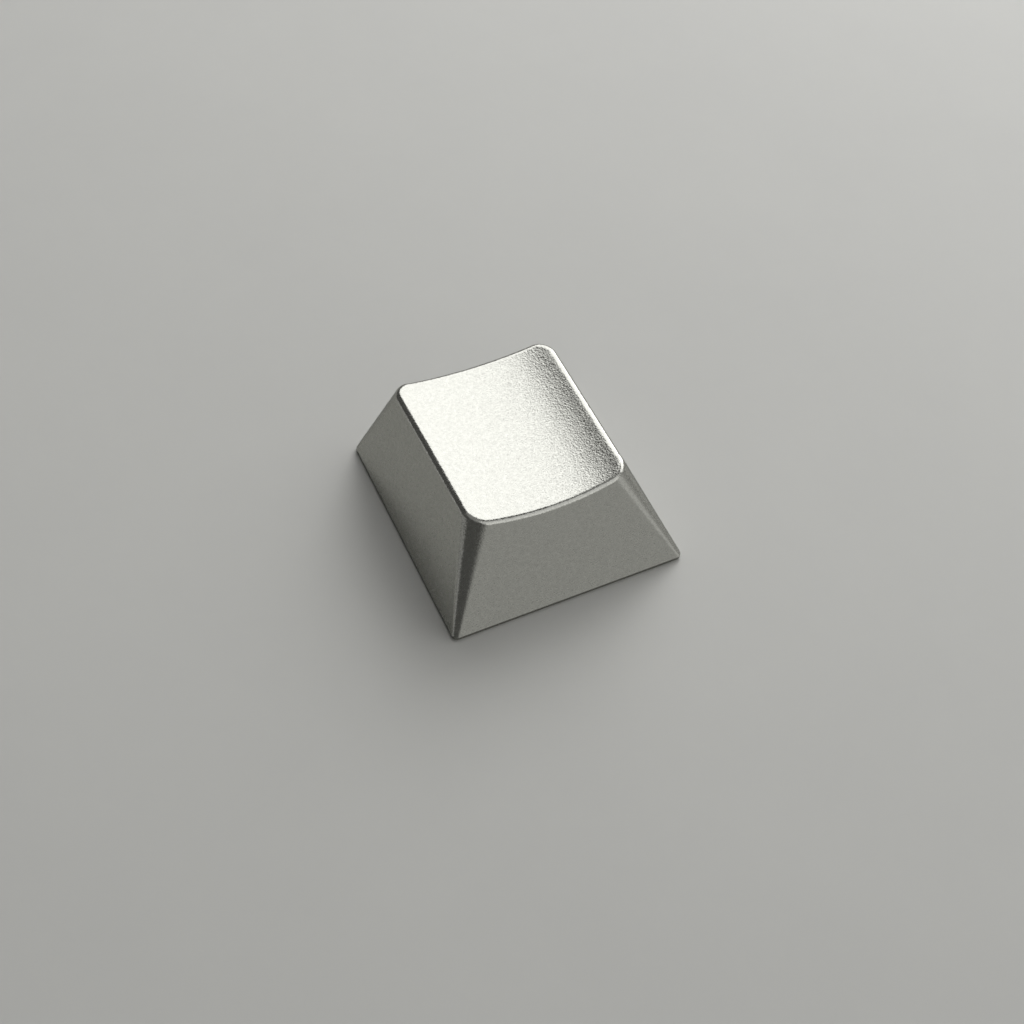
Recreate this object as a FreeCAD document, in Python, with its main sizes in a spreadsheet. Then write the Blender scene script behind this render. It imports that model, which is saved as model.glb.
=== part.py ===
import FreeCAD, Part
import math
import os
import Sketcher

# A one-unit metal keycap for a keyboard switch with a cross-shaped stem, standing on its rim.
# Millimetres, +Z up, -Y towards the typist, origin at the middle of the rim's lower face.
# The outside is a square base whose flat walls draw in to a smaller top. The top sits towards the back,
# falls a little to the back and is dished by a cylinder that runs from front to back. The inside is a
# hollow with walls parallel to the outside and a round stem that holds the cross socket.

SIZES = {
    # outside
    "base_width": 18.1,
    "base_depth": 18.1,
    "base_corner": 0.45,
    # the walls stand upright for this height before they draw in, so that the foot has no knife edge
    "base_land": 0.25,
    # the top's level outline at its side edges, before the rim is rounded
    "top_width": 12.35,
    "top_depth": 13.6,
    "top_corner": 1.6,
    # the top's middle lies this far behind the base's middle, at this height
    "top_setback": 2.2,
    "top_height": 6.3,
    "top_tilt_degrees": 1.3,
    "dish_radius": 30.0,
    "rim_round": 0.5,
    # hollow underside
    "wall_thickness": 1.5,
    "roof_thickness": 1.1,
    "mouth_corner": 1.0,
    "roof_corner": 1.6,
    "roof_break": 0.4,
    "mouth_break": 0.15,
    # cross socket, and the stem around it
    "socket_span": 4.1,
    "slot_across_width": 1.28,
    "slot_along_width": 1.18,
    "slot_corner": 0.15,
    # the socket runs this far into the roof
    "socket_sink": 0.5,
    "socket_lead": 0.2,
    "stem_wall": 0.75,
    # the stem's end lies this far above the rim
    "stem_recess": 0.5,
    "stem_root_break": 0.35,
}

# Sizes that follow from those, as expressions over the sheet
TILT = "(Sizes.top_tilt_degrees * 1 deg)"
DISH_AXIS = "sqrt(Sizes.dish_radius ^ 2 - (Sizes.top_width / 2) ^ 2)"
DISH_DEPTH = f"(Sizes.dish_radius - {DISH_AXIS})"
TOP_FALL = f"(Sizes.top_depth / 2 * tan({TILT}))"
# the dish is lowest at the back, and the roof lies level below that point
ROOF_LEVEL = f"(Sizes.top_height - {TOP_FALL} - {DISH_DEPTH} - Sizes.roof_thickness)"
# the walls run on up to stock that the dish then cuts away
STOCK_LEVEL = f"(Sizes.top_height + {TOP_FALL} + {DISH_DEPTH})"
# how far each outer wall draws in from the land to the top, and how far its corners open
SIDE_DRAW = "(Sizes.base_width / 2 - Sizes.top_width / 2)"
FRONT_DRAW = "(Sizes.base_depth / 2 - Sizes.top_depth / 2 + Sizes.top_setback)"
BACK_DRAW = "(Sizes.base_depth / 2 - Sizes.top_depth / 2 - Sizes.top_setback)"
CORNER_OPENING = "(Sizes.top_corner - Sizes.base_corner)"
STEM_RADIUS = "(Sizes.socket_span / 2 + Sizes.stem_wall)"

# How the sketcher numbers a piece of geometry's points, the sketch's origin and its upright axis
START, END, CENTRE = 1, 2, 3
ORIGIN, UPRIGHT = -1, -2
CLOSE = 1e-6
UP = FreeCAD.Vector(0, 0, 1)

doc = FreeCAD.newDocument("keycap")
sheet = doc.addObject("Spreadsheet::Sheet", "Sizes")
for row, (alias, value) in enumerate(SIZES.items(), start=1):
    sheet.set(f"A{row}", alias)
    sheet.set(f"B{row}", str(value))
    sheet.setAlias(f"B{row}", alias)
doc.recompute()

keycap = doc.addObject("PartDesign::Body", "keycap")
keycap.Label = "keycap"


def number(expression):
    """The present value of an expression over the sheet's sizes."""
    return float(sheet.evalExpression(expression))


def new_sketch(name, plane="XY_Plane", tilted=False, **offset):
    """A sketch on an origin plane, moved by expressions for x, y or z and tilted to the back with the top."""
    sketch = keycap.newObject("Sketcher::SketchObject", name)
    support = next(item for item in keycap.Origin.OriginFeatures if item.Role == plane)
    sketch.AttachmentSupport = [(support, "")]
    sketch.MapMode = "FlatFace"
    if tilted:
        to_the_back = FreeCAD.Rotation(FreeCAD.Vector(-1, 0, 0), number(TILT))
        sketch.AttachmentOffset = FreeCAD.Placement(FreeCAD.Vector(), to_the_back)
        sketch.setExpression("AttachmentOffset.Rotation.Angle", TILT)
    for axis, expression in offset.items():
        sketch.setExpression(f"AttachmentOffset.Base.{axis}", expression)
    return sketch


def dimension(sketch, name, expression, kind, *where):
    """A named dimension of the sketch that follows an expression."""
    index = sketch.addConstraint(Sketcher.Constraint(kind, *where, number(expression)))
    sketch.renameConstraint(index, name)
    sketch.setExpression(f"Constraints.{name}", expression)


def share_of_draw(level):
    """An expression for how much of the walls' draw lies below a level."""
    return f"(({level} - Sizes.base_land) / (Sizes.top_height - Sizes.base_land))"


def walls_at(level, inset="0"):
    """Expressions for the walls' reach to the side, front and back at a level, less an inset."""
    walls = (("base_width", SIDE_DRAW), ("base_depth", FRONT_DRAW), ("base_depth", BACK_DRAW))
    return [f"Sizes.{base} / 2 - {draw} * {share_of_draw(level)} - {inset}" for base, draw in walls]


def draw_rounded_outline(sketch, side, front, back, corner):
    """A rounded rectangle about the upright axis, from expressions for its reach and its corner radius."""
    right, low, high, radius = number(side), -number(front), number(back), number(corner)
    # each straight edge's start and end, and the middle of the corner that follows it
    edges = [
        ((radius - right, low), (right - radius, low), (right - radius, low + radius)),
        ((right, low + radius), (right, high - radius), (right - radius, high - radius)),
        ((right - radius, high), (radius - right, high), (radius - right, high - radius)),
        ((-right, high - radius), (-right, low + radius), (radius - right, low + radius)),
    ]
    for quarter, (start, end, middle) in enumerate(edges, start=-1):
        line = Part.LineSegment(FreeCAD.Vector(*start), FreeCAD.Vector(*end))
        circle = Part.Circle(FreeCAD.Vector(*middle), UP, radius)
        arc = Part.ArcOfCircle(circle, quarter * math.pi / 2, (quarter + 1) * math.pi / 2)
        sketch.addGeometry([line, arc], False)
    front_edge, right_edge, back_edge, left_edge = lines = [0, 2, 4, 6]
    first_corner, *other_corners = [1, 3, 5, 7]
    for line in lines:
        corner_after = line + 1
        line_after = (line + 2) % sketch.GeometryCount
        sketch.addConstraint(Sketcher.Constraint("Tangent", line, END, corner_after, START))
        sketch.addConstraint(Sketcher.Constraint("Tangent", corner_after, END, line_after, START))
    for line in (front_edge, back_edge):
        sketch.addConstraint(Sketcher.Constraint("Horizontal", line))
    for line in (right_edge, left_edge):
        sketch.addConstraint(Sketcher.Constraint("Vertical", line))
    for arc in other_corners:
        sketch.addConstraint(Sketcher.Constraint("Equal", first_corner, arc))
    dimension(sketch, "corner", corner, "Radius", first_corner)
    dimension(sketch, "right", side, "DistanceX", ORIGIN, START, right_edge, START)
    dimension(sketch, "left", side, "DistanceX", left_edge, START, ORIGIN, START)
    dimension(sketch, "front", front, "DistanceY", front_edge, START, ORIGIN, START)
    dimension(sketch, "back", back, "DistanceY", ORIGIN, START, back_edge, START)


def draw_circle(sketch, radius, height=None):
    """A circle about the sketch's origin, or on its upright axis at the expression for its height."""
    middle = FreeCAD.Vector(0, number(height) if height else 0, 0)
    circle = sketch.addGeometry(Part.Circle(middle, UP, number(radius)), False)
    dimension(sketch, "radius", radius, "Radius", circle)
    if height:
        sketch.addConstraint(Sketcher.Constraint("PointOnObject", circle, CENTRE, UPRIGHT))
        dimension(sketch, "height", height, "DistanceY", ORIGIN, START, circle, CENTRE)
    else:
        sketch.addConstraint(Sketcher.Constraint("Coincident", circle, CENTRE, ORIGIN, START))


def new_feature(kind, name, profile, **settings):
    """A feature of the body on a sketch; its settings may be expressions over the sheet."""
    feature = keycap.newObject(f"PartDesign::{kind}", name)
    feature.Profile = profile
    for setting, value in settings.items():
        if isinstance(value, str) and "Sizes." in value:
            feature.setExpression(setting, value)
        else:
            setattr(feature, setting, value)
    doc.recompute()
    return feature


def break_edges(kind, name, base, edges, **sizes):
    """A fillet or chamfer on some of the base feature's edges."""
    feature = keycap.newObject(f"PartDesign::{kind}", name)
    names = [f"Edge{index}" for index, edge in enumerate(base.Shape.Edges, start=1)
             if any(edge.isSame(other) for other in edges)]
    feature.Base = (base, names)
    for size, expression in sizes.items():
        feature.setExpression(size, expression)
    doc.recompute()
    return feature


def level_face(feature, level):
    """The feature's flat face that lies level at that height."""
    return next(face for face in feature.Shape.Faces
                if face.BoundBox.ZLength < CLOSE and abs(face.BoundBox.ZMin - level) < CLOSE)


def inner_edges(face):
    """Edges around the holes of a face."""
    return [edge for wire in face.Wires if not wire.isSame(face.OuterWire) for edge in wire.Edges]


def has_radius(item, kind, expression):
    """Whether a face's surface or an edge's curve is round, with that radius."""
    return isinstance(item, kind) and abs(item.Radius - number(expression)) < CLOSE


# Outside, an upright land at the foot, then a ruled loft: flat walls joined by corners that open upwards
base_outline = new_sketch("base_outline", z="Sizes.base_land")
draw_rounded_outline(base_outline, *walls_at("Sizes.base_land"), "Sizes.base_corner")
land = new_feature("Pad", "land", base_outline, Reversed=True, Length="Sizes.base_land")
stock_outline = new_sketch("stock_outline", z=STOCK_LEVEL)
draw_rounded_outline(stock_outline, *walls_at(STOCK_LEVEL),
                     f"Sizes.base_corner + {CORNER_OPENING} * {share_of_draw(STOCK_LEVEL)}")
block = new_feature("AdditiveLoft", "block", base_outline, Sections=[stock_outline], Ruled=True)

# Dish, along the tilted top, with a rounded rim
dish_section = new_sketch("dish_section", "XZ_Plane", tilted=True,
                          y="Sizes.top_height", z="-Sizes.top_setback")
draw_circle(dish_section, "Sizes.dish_radius", DISH_AXIS)
dish = new_feature("Pocket", "dish", dish_section, Type="ThroughAll", SideType="Symmetric")
dish_face = next(face for face in dish.Shape.Faces
                 if has_radius(face.Surface, Part.Cylinder, "Sizes.dish_radius"))
rim = break_edges("Fillet", "rim", dish, dish_face.Edges, Radius="Sizes.rim_round")

# Hollow, its walls parallel to the outside and its roof level
mouth_outline = new_sketch("mouth_outline")
draw_rounded_outline(mouth_outline, *walls_at("0", inset="Sizes.wall_thickness"), "Sizes.mouth_corner")
roof_outline = new_sketch("roof_outline", z=ROOF_LEVEL)
draw_rounded_outline(roof_outline, *walls_at(ROOF_LEVEL, inset="Sizes.wall_thickness"), "Sizes.roof_corner")
hollow = new_feature("SubtractiveLoft", "hollow", mouth_outline, Sections=[roof_outline], Ruled=True)
roof_edges = level_face(hollow, number(ROOF_LEVEL)).Edges
roof = break_edges("Chamfer", "roof", hollow, roof_edges, Size="Sizes.roof_break")

# Stem, from its recessed end to halfway through the roof
stem_section = new_sketch("stem_section", z="Sizes.stem_recess")
draw_circle(stem_section, STEM_RADIUS)
stem = new_feature("Pad", "stem", stem_section,
                   Length=f"{ROOF_LEVEL} - Sizes.stem_recess + Sizes.roof_thickness / 2")
root_edges = [edge for edge in level_face(stem, number(ROOF_LEVEL)).Edges
              if has_radius(edge.Curve, Part.Circle, STEM_RADIUS)]
root = break_edges("Chamfer", "root", stem, root_edges, Size="Sizes.stem_root_break")

# Cross socket, one slot across and one along, cut upwards into the stem, with a lead-in at its mouth
slots = []
for name, side, reach in (
    ("slot_across", "Sizes.socket_span / 2", "Sizes.slot_across_width / 2"),
    ("slot_along", "Sizes.slot_along_width / 2", "Sizes.socket_span / 2"),
):
    section = new_sketch(f"{name}_section", z="Sizes.stem_recess")
    draw_rounded_outline(section, side, reach, reach, "Sizes.slot_corner")
    slots.append(new_feature("Pocket", name, section, Reversed=True,
                             Length=f"{ROOF_LEVEL} - Sizes.stem_recess + Sizes.socket_sink"))
socket_mouth = inner_edges(level_face(slots[-1], number("Sizes.stem_recess")))
lead = break_edges("Chamfer", "lead", slots[-1], socket_mouth, Size="Sizes.socket_lead")

# Rim that the cap stands on, its inner edge broken
mouth_edges = inner_edges(level_face(lead, 0))
mouth = break_edges("Chamfer", "mouth", lead, mouth_edges, Size="Sizes.mouth_break")
keycap.Tip = mouth
doc.recompute()

# Every feature has to be sound, and to have changed the solid, before anything is written
for item in doc.Objects:
    if "Invalid" in item.State or "Error" in item.State:
        raise RuntimeError(f"{item.Name} failed: {item.State}")
volume_before = 0
for feature in (land, block, dish, rim, hollow, roof, stem, root, *slots, lead, mouth):
    shape = feature.Shape
    if shape.isNull() or not shape.isValid() or len(shape.Solids) != 1:
        raise RuntimeError(f"{feature.Name} is not one sound solid")
    if abs(shape.Volume - volume_before) < CLOSE:
        raise RuntimeError(f"{feature.Name} changed nothing")
    volume_before = shape.Volume

os.makedirs("parts", exist_ok=True)
keycap.Shape.exportStep(f"parts/{keycap.Label}.step")
print(f"volume {keycap.Shape.Volume:.1f} mm3")
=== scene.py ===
import math

import bmesh
import bpy
from mathutils import Matrix, Quaternion, Vector


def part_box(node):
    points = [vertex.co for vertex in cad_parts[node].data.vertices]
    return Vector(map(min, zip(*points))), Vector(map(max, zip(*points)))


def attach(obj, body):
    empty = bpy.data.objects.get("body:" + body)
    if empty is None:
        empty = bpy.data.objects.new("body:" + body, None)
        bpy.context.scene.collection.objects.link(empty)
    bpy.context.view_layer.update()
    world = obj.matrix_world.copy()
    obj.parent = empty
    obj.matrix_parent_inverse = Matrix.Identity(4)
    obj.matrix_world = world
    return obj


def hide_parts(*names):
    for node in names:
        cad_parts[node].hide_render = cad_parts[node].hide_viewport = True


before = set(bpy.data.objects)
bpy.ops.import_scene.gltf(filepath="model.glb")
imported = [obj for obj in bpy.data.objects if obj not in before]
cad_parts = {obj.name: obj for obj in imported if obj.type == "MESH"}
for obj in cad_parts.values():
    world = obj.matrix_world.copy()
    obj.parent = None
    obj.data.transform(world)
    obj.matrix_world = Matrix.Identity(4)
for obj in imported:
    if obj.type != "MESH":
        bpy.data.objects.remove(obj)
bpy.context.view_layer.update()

# Sizes of the cap in millimetres, the same as the solid's
MM = 0.001
BASE_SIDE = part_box("keycap")[1].x / MM
BASE_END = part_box("keycap")[1].y / MM
BASE_CORNER = 0.45
BASE_LAND = 0.25
TOP_WIDTH = 12.35
TOP_DEPTH = 13.6
TOP_CORNER = 1.6
TOP_SETBACK = 2.2
TOP_HEIGHT = 6.3
TOP_TILT = math.radians(1.3)
DISH_RADIUS = 30.0
RIM_ROUND = 0.5
WALL = 1.5
ROOF = 1.1
MOUTH_CORNER = 1.0
MOUTH_BREAK = 0.15
ROOF_CORNER = 1.6
ROOF_BREAK = 0.4
SOCKET_SPAN = 4.1
SLOT_ACROSS = 1.28
SLOT_ALONG = 1.18
SLOT_CORNER = 0.15
SOCKET_SINK = 0.5
SOCKET_LEAD = 0.2
STEM_WALL = 0.75
STEM_RECESS = 0.5
STEM_ROOT_BREAK = 0.35

# Sizes that follow from those
DISH_AXIS_HEIGHT = math.sqrt(DISH_RADIUS ** 2 - (TOP_WIDTH / 2) ** 2)
TOP_UP = Vector((0, math.sin(TOP_TILT), math.cos(TOP_TILT)))
TOP_BACK = Vector((0, math.cos(TOP_TILT), -math.sin(TOP_TILT)))
DISH_AXIS = Vector((0, TOP_SETBACK, TOP_HEIGHT)) + DISH_AXIS_HEIGHT * TOP_UP
DISH_DEPTH = DISH_RADIUS - DISH_AXIS_HEIGHT
ROOF_LEVEL = TOP_HEIGHT - TOP_DEPTH / 2 * math.tan(TOP_TILT) - DISH_DEPTH - ROOF
STEM_RADIUS = SOCKET_SPAN / 2 + STEM_WALL

# How finely the skin is divided: round a corner, along an edge, over the rim and round a slot's corner
CORNER_STEPS = 16
EDGE_STEPS = 24
RIM_STEPS = 12
SLOT_CORNER_STEPS = 4

# Edges that turn more than this stay sharp in the shading
SHARP_ANGLE = math.radians(25)


def stations():
    """The points of an outline: a corner, the share of the way to the next, and the angle faced."""
    quarter_turn = math.pi / 2
    for corner in range(4):
        for step in range(CORNER_STEPS):
            yield corner, 0, (corner - 1 + step / CORNER_STEPS) * quarter_turn
        for step in range(EDGE_STEPS):
            yield corner, step / EDGE_STEPS, corner * quarter_turn


def facing(angle):
    """The level direction at an angle from +X."""
    return Vector((math.cos(angle), math.sin(angle), 0))


def rounded_outline(level, side, front, back, corner):
    """A rounded rectangle at a level, counter-clockwise from the front-right corner."""
    centres = [
        Vector((side - corner, corner - front, level)),
        Vector((side - corner, back - corner, level)),
        Vector((corner - side, back - corner, level)),
        Vector((corner - side, corner - front, level)),
    ]
    points = []
    for start, share, angle in stations():
        centre = centres[start].lerp(centres[(start + 1) % 4], share)
        points.append(centre + corner * facing(angle))
    return points


def wall_outline(level, inset, corner):
    """The outline between the walls at a level, moved in by an inset."""
    share = (level - BASE_LAND) / (TOP_HEIGHT - BASE_LAND)
    side = BASE_SIDE + (TOP_WIDTH / 2 - BASE_SIDE) * share
    front = BASE_END + (TOP_DEPTH / 2 - TOP_SETBACK - BASE_END) * share
    back = BASE_END + (TOP_DEPTH / 2 + TOP_SETBACK - BASE_END) * share
    return rounded_outline(level, side - inset, front - inset, back - inset, corner)


def hollow_outline(level, inset=0):
    """The outline of the hollow underside at a level, moved in by an inset."""
    corner = MOUTH_CORNER + (ROOF_CORNER - MOUTH_CORNER) * level / ROOF_LEVEL
    return wall_outline(level, WALL + inset, corner - inset)


def across_dish(offset):
    """The part of an offset that lies across the dish's axis."""
    return offset - offset.dot(TOP_BACK) * TOP_BACK


def onto_dish(start, end):
    """Where the line from start through end comes up into the dish."""
    run = across_dish(end - start)
    offset = across_dish(start - DISH_AXIS)
    approach = run.dot(offset)
    root = math.sqrt(approach ** 2 - run.length_squared * (offset.length_squared - DISH_RADIUS ** 2))
    return start.lerp(end, (-approach - root) / run.length_squared)


def dish_normal(point):
    """The way the dish faces at one of its points."""
    return across_dish(DISH_AXIS - point).normalized()


def rim_outlines():
    """The rounded rim from the dish over to the walls, one outline for each step round it."""
    feet = wall_outline(BASE_LAND, 0, BASE_CORNER)
    heads = wall_outline(TOP_HEIGHT, 0, TOP_CORNER)
    outlines = [[] for _ in range(RIM_STEPS + 1)]
    for foot, head, (_, _, angle) in zip(feet, heads, stations()):
        edge = onto_dish(foot, head)
        up = dish_normal(edge)
        along = Vector((-math.sin(angle), math.cos(angle), 0))
        out = along.cross(head - foot).normalized()
        centre = edge - (up + out) * RIM_ROUND / (1 + up.dot(out))
        for step, outline in enumerate(outlines):
            outline.append(centre + RIM_ROUND * up.slerp(out, step / RIM_STEPS))
    return outlines


def stem_outline(level, radius):
    """A circle about the stem's axis, with a point towards each point of the roof's outline."""
    return [radius * Vector((point.x, point.y, 0)).normalized() + Vector((0, 0, level))
            for point in hollow_outline(ROOF_LEVEL)]


def socket_outline(level, grow=0):
    """The cross socket's outline at a level, grown by a margin, with rounded arm ends."""
    reach = SOCKET_SPAN / 2 + grow
    corner = SLOT_CORNER + grow
    halves = [SLOT_ACROSS / 2 + grow, SLOT_ALONG / 2 + grow]
    points = []
    for arm in range(4):
        half, next_half = halves[arm % 2], halves[(arm + 1) % 2]
        turn = Matrix.Rotation(arm * math.pi / 2, 3, "Z")
        points.append(turn @ Vector((next_half, -half, level)))
        for side in (-1, 1):
            centre = Vector((reach - corner, side * (half - corner), level))
            for step in range(SLOT_CORNER_STEPS + 1):
                angle = (step / SLOT_CORNER_STEPS + min(side, 0)) * math.pi / 2
                points.append(turn @ (centre + corner * facing(angle)))
    return points


def add_ring(bm, points):
    """Vertices at the points, which are in millimetres."""
    return [bm.verts.new(point * MM) for point in points]


def skin(bm, rings):
    """Quads from each ring of vertices to the next."""
    for ring, next_ring in zip(rings, rings[1:]):
        for here in range(len(ring)):
            before = here - 1
            bm.faces.new((ring[before], next_ring[before], next_ring[here], ring[here]))


def fill_dish(bm, ring):
    """A grid of quads inside the dish's edge, each point of it on the dish."""
    # The edge is parted into four sides at the middles of its corners
    count = CORNER_STEPS + EDGE_STEPS
    start = CORNER_STEPS // 2
    edge = ring[start:] + ring[:start + 1]
    right, back, left, front = (edge[turn * count:(turn + 1) * count + 1] for turn in range(4))
    back.reverse()
    left.reverse()
    rows = [front]
    for step_back in range(1, count):
        back_share = step_back / count
        row = [left[step_back]]
        for step_right in range(1, count):
            right_share = step_right / count
            ends = front[step_right].co.lerp(back[step_right].co, back_share)
            sides = left[step_back].co.lerp(right[step_back].co, right_share)
            front_corners = front[0].co.lerp(front[-1].co, right_share)
            back_corners = back[0].co.lerp(back[-1].co, right_share)
            plan = (ends + sides - front_corners.lerp(back_corners, back_share)) / MM
            below = Vector((plan.x, plan.y, 0))
            row.append(bm.verts.new(onto_dish(below, below + Vector((0, 0, 1))) * MM))
        rows.append(row + [right[step_back]])
    rows.append(back)
    for row, next_row in zip(rows, rows[1:]):
        for here in range(count):
            bm.faces.new((row[here], row[here + 1], next_row[here + 1], next_row[here]))


def fill_between(bm, outer, inner):
    """Flat faces between two rings of different counts."""
    edges = []
    for ring in (outer, inner):
        for here in range(len(ring)):
            pair = (ring[here - 1], ring[here])
            edges.append(bm.edges.get(pair) or bm.edges.new(pair))
    bmesh.ops.triangle_fill(bm, edges=edges, use_beauty=True, normal=(0, 0, -1))


def keycap_skin():
    """One closed skin: over the dish and rim, down the walls, in under the foot and up to the socket."""
    bm = bmesh.new()
    outside = [
        *rim_outlines(),
        wall_outline(BASE_LAND, 0, BASE_CORNER),
        rounded_outline(0, BASE_SIDE, BASE_END, BASE_END, BASE_CORNER),
    ]
    underside = [
        hollow_outline(0, inset=-MOUTH_BREAK),
        hollow_outline(MOUTH_BREAK),
        hollow_outline(ROOF_LEVEL - ROOF_BREAK),
        hollow_outline(ROOF_LEVEL, inset=ROOF_BREAK),
        stem_outline(ROOF_LEVEL, STEM_RADIUS + STEM_ROOT_BREAK),
        stem_outline(ROOF_LEVEL - STEM_ROOT_BREAK, STEM_RADIUS),
        stem_outline(STEM_RECESS, STEM_RADIUS),
    ]
    socket = [
        socket_outline(STEM_RECESS, grow=SOCKET_LEAD),
        socket_outline(STEM_RECESS + SOCKET_LEAD),
        socket_outline(ROOF_LEVEL + SOCKET_SINK),
    ]
    rings = [add_ring(bm, outline) for outline in outside + underside]
    skin(bm, rings)
    fill_dish(bm, rings[0])
    socket_rings = [add_ring(bm, outline) for outline in socket]
    fill_between(bm, rings[-1], socket_rings[0])
    skin(bm, socket_rings)
    bm.faces.new(reversed(socket_rings[-1]))
    bmesh.ops.recalc_face_normals(bm, faces=bm.faces)
    mesh = bpy.data.meshes.new("keycap_skin")
    bm.to_mesh(mesh)
    bm.free()
    mesh.shade_smooth()
    mesh.set_sharp_from_angle(angle=SHARP_ANGLE)
    return mesh


def linear(hex_colour):
    """An sRGB hex colour as linear red, green, blue and alpha."""
    channels = [int(hex_colour[i:i + 2], 16) / 255 for i in (1, 3, 5)]
    return [c / 12.92 if c <= 0.04045 else ((c + 0.055) / 1.055) ** 2.4 for c in channels] + [1.0]


def add_node(tree, kind, inputs, **settings):
    """A node with its settings; each input is a value or another node's output socket."""
    node = tree.nodes.new(kind)
    for name, value in settings.items():
        setattr(node, name, value)
    for name, value in inputs.items():
        if isinstance(value, bpy.types.NodeSocket):
            tree.links.new(value, node.inputs[name])
        else:
            node.inputs[name].default_value = value
    return node


# Where a mix node keeps its two colours and their mixture
MIX_A, MIX_B, MIX_RESULT = 6, 7, 2


def new_material(name):
    """An empty node material and its tree."""
    material = bpy.data.materials.new(name)
    material.use_nodes = True
    material.node_tree.nodes.clear()
    return material, material.node_tree


def bead_blasted_aluminium():
    """Aluminium, bead blasted and clear anodised: a pale silver satin whose small dents sparkle."""
    material, tree = new_material("bead_blasted_aluminium")
    # Fine blasting leaves marks of about 0.05 mm; these, in millimetres, are coarser, so that they show
    dent = 0.13
    dent_depth = 0.0058
    speck = 0.25
    grain = 0.09
    place = add_node(tree, "ShaderNodeTexCoord", {}).outputs["Object"]
    dents = add_node(tree, "ShaderNodeTexVoronoi",
                     {"Vector": place, "Scale": 1 / (dent * MM), "Smoothness": 0.5}, feature="SMOOTH_F1")
    specks = add_node(tree, "ShaderNodeTexNoise",
                      {"Vector": place, "Scale": 1 / (speck * MM), "Detail": 2.0, "Roughness": 0.6})
    bump = add_node(tree, "ShaderNodeBump",
                    {"Height": dents.outputs["Distance"], "Strength": 1.0, "Distance": dent_depth * MM})
    colour = add_node(tree, "ShaderNodeMix",
                      {"Factor": specks.outputs["Fac"], MIX_A: linear("#9e9e99"), MIX_B: linear("#b9b9b3")},
                      data_type="RGBA")
    grains = add_node(tree, "ShaderNodeTexNoise",
                      {"Vector": place, "Scale": 1 / (grain * MM), "Detail": 0.0})
    roughness = add_node(tree, "ShaderNodeMapRange",
                         {"Value": grains.outputs["Fac"], "From Min": 0.3, "From Max": 0.7,
                          "To Min": 0.1, "To Max": 0.31})
    # The tint keeps the blasted face from flaring where it is seen edge on
    metal = add_node(tree, "ShaderNodeBsdfPrincipled",
                     {"Base Color": colour.outputs[MIX_RESULT], "Metallic": 1.0,
                      "Roughness": roughness.outputs["Result"],
                      "Specular Tint": linear("#cccccc"), "Normal": bump.outputs["Normal"]})
    add_node(tree, "ShaderNodeOutputMaterial", {"Surface": metal.outputs["BSDF"]})
    return material


def matte_card():
    """Pale grey card with a matte, faintly mottled face."""
    material, tree = new_material("matte_card")
    # The mottle's broadest patches, in millimetres
    patch = 30
    place = add_node(tree, "ShaderNodeTexCoord", {}).outputs["Object"]
    mottle = add_node(tree, "ShaderNodeTexNoise",
                      {"Vector": place, "Scale": 1 / (patch * MM), "Detail": 8.0, "Roughness": 0.75})
    colour = add_node(tree, "ShaderNodeMix",
                      {"Factor": mottle.outputs["Fac"], MIX_A: linear("#c0c0bd"), MIX_B: linear("#c9c9c5")},
                      data_type="RGBA")
    card = add_node(tree, "ShaderNodeBsdfPrincipled",
                    {"Base Color": colour.outputs[MIX_RESULT], "Roughness": 0.7})
    add_node(tree, "ShaderNodeOutputMaterial", {"Surface": card.outputs["BSDF"]})
    return material


def add_keycap():
    """The keycap, its skin and finish, in place of the plain solid."""
    mesh = keycap_skin()
    mesh.materials.append(bead_blasted_aluminium())
    keycap = bpy.data.objects.new("keycap_metal", mesh)
    bpy.context.scene.collection.objects.link(keycap)
    normals = keycap.modifiers.new("even_shading", "WEIGHTED_NORMAL")
    normals.keep_sharp = True
    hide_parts("keycap")
    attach(keycap, "root")


def add_floor():
    """The card that the cap stands on."""
    reach = 2.0
    mesh = bpy.data.meshes.new("floor")
    corners = [(-reach, -reach, 0), (reach, -reach, 0), (reach, reach, 0), (-reach, reach, 0)]
    mesh.from_pydata(corners, [], [(0, 1, 2, 3)])
    mesh.materials.append(matte_card())
    floor = bpy.data.objects.new("floor", mesh)
    bpy.context.scene.collection.objects.link(floor)


def direction(azimuth, elevation):
    """The direction at an azimuth from +X towards +Y and an elevation, in degrees."""
    level = math.cos(math.radians(elevation)) * facing(math.radians(azimuth))
    return level + Vector((0, 0, math.sin(math.radians(elevation))))


def add_softbox(name, place, size, radiance, roll=0, on_matte=True, in_metal=True):
    """A rectangular soft light that faces the cap; its lit face has that radiance.

    Its place is an azimuth and an elevation in degrees and a distance in metres.
    It lights matte faces, shows in metal, or both.
    """
    azimuth, elevation, distance = place
    width, height = size
    light = bpy.data.lights.new(name, "AREA")
    light.shape = "RECTANGLE"
    light.size = width
    light.size_y = height
    light.energy = radiance * math.pi * width * height
    lamp = bpy.data.objects.new(name, light)
    towards = direction(azimuth, elevation)
    lamp.location = towards * distance
    turn = towards.to_track_quat("Z", "Y") @ Quaternion((0, 0, 1), math.radians(roll))
    lamp.rotation_euler = turn.to_euler()
    lamp.visible_diffuse = on_matte
    lamp.visible_glossy = in_metal
    bpy.context.scene.collection.objects.link(lamp)


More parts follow.
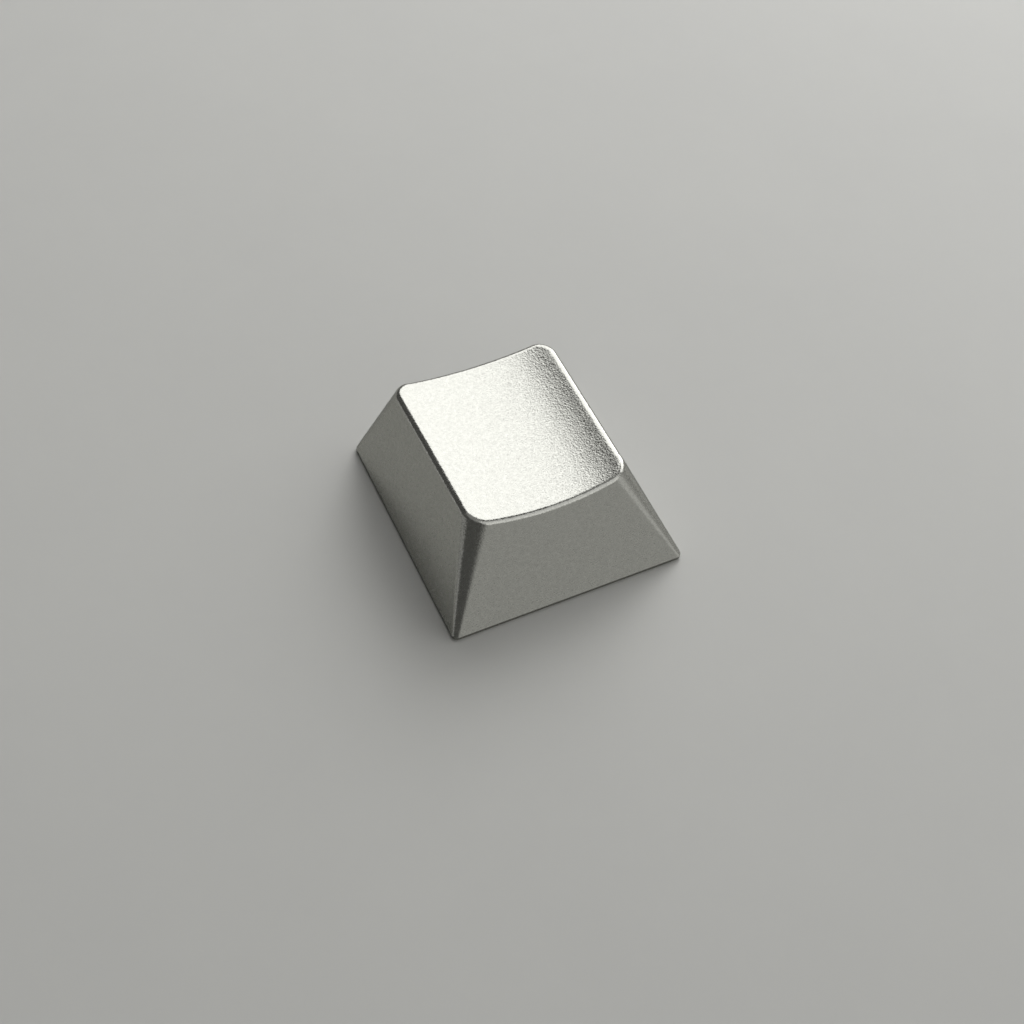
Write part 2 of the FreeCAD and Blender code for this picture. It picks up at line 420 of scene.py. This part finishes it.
def add_room():
    """A dim room whose light swells softly towards the front on the right."""
    world = bpy.data.worlds.new("room")
    world.use_nodes = True
    tree = world.node_tree
    tree.nodes.clear()
    brightest = direction(-52, 8)
    way = add_node(tree, "ShaderNodeTexCoord", {}).outputs["Generated"]
    nearness = add_node(tree, "ShaderNodeVectorMath", {0: way, 1: brightest}, operation="DOT_PRODUCT")
    level = add_node(tree, "ShaderNodeMapRange",
                     {"Value": nearness.outputs["Value"], "From Min": 0.52, "From Max": 0.9,
                      "To Min": 0.11, "To Max": 0.5}, interpolation_type="SMOOTHSTEP")
    room = add_node(tree, "ShaderNodeBackground",
                    {"Color": (1.0, 1.0, 0.97, 1.0), "Strength": level.outputs["Result"]})
    add_node(tree, "ShaderNodeOutputWorld", {"Surface": room.outputs["Background"]})
    bpy.context.scene.world = world


def add_lights():
    """A broad window behind on the right, a key for the shadow, and panels for the rim and corners."""
    # The window, seen in the dish and along the right of the rim
    add_softbox("window", place=(52.7, 29.9, 0.6), size=(0.55, 0.668), radiance=2.28, roll=-43)
    # The key, which lights the floor round the cap's soft shadow
    add_softbox("key", place=(50, 28, 0.5), size=(0.26, 0.18), radiance=8.3, in_metal=False)
    # The side panel, seen at the front-right corner of the rim
    add_softbox("side", place=(5, 34, 0.6), size=(0.32, 0.42), radiance=1.3, roll=-7)
    # A panel in front of it for the white corner of the rim
    add_softbox("corner", place=(13, 29, 0.55), size=(0.3, 0.36), radiance=1.1, on_matte=False)
    # A faint panel for the light streak down the front-right corner
    add_softbox("side_fill", place=(-38, 14, 0.6), size=(0.22, 0.2), radiance=0.25)
    # A low panel for the whitest part of the rim, on the right
    add_softbox("strip", place=(30, 13, 0.5), size=(0.26, 0.14), radiance=3.2, on_matte=False)
    # A high panel for the light band along the front of the rim
    add_softbox("front", place=(-58, 53, 0.6), size=(0.45, 0.53), radiance=0.85, on_matte=False)
    # A faint low panel on the left, which narrows the dark strip on the front-left corner
    add_softbox("left", place=(177, 11, 0.6), size=(0.25, 0.19), radiance=0.29, on_matte=False)
    # A dim panel overhead, which shows in the dish when it is seen from above
    add_softbox("overhead", place=(200, 84, 0.6), size=(0.5, 0.5), radiance=0.25, on_matte=False)
    # A low panel behind on the left for the thin light line under the left of the rim
    add_softbox("back", place=(150, 6, 0.6), size=(0.3, 0.1), radiance=0.6, on_matte=False)
    add_room()


def add_camera():
    """The photograph's view, found by fitting the cap's edges to it."""
    azimuth = math.radians(-31.994)
    elevation = math.radians(54.508)
    roll = math.radians(7.997)
    distance = 102.396
    aim = Vector((-2.175, -3.161, 4.0))
    focal_pixels = 1468.257
    image_width = 1024
    data = bpy.data.cameras.new("camera")
    data.sensor_width = 36.0
    data.lens = data.sensor_width * focal_pixels / image_width
    data.clip_start = 0.001
    camera = bpy.data.objects.new("camera", data)
    turn = (Matrix.Rotation(azimuth, 4, "Z") @ Matrix.Rotation(math.pi / 2 - elevation, 4, "X")
            @ Matrix.Rotation(roll, 4, "Z"))
    place = aim + turn.to_3x3() @ Vector((0, 0, distance))
    camera.matrix_world = Matrix.Translation(place * MM) @ turn
    bpy.context.scene.collection.objects.link(camera)
    bpy.context.scene.camera = camera


add_keycap()
add_floor()
add_lights()
add_camera()
bpy.context.scene.view_settings.view_transform = "Standard"
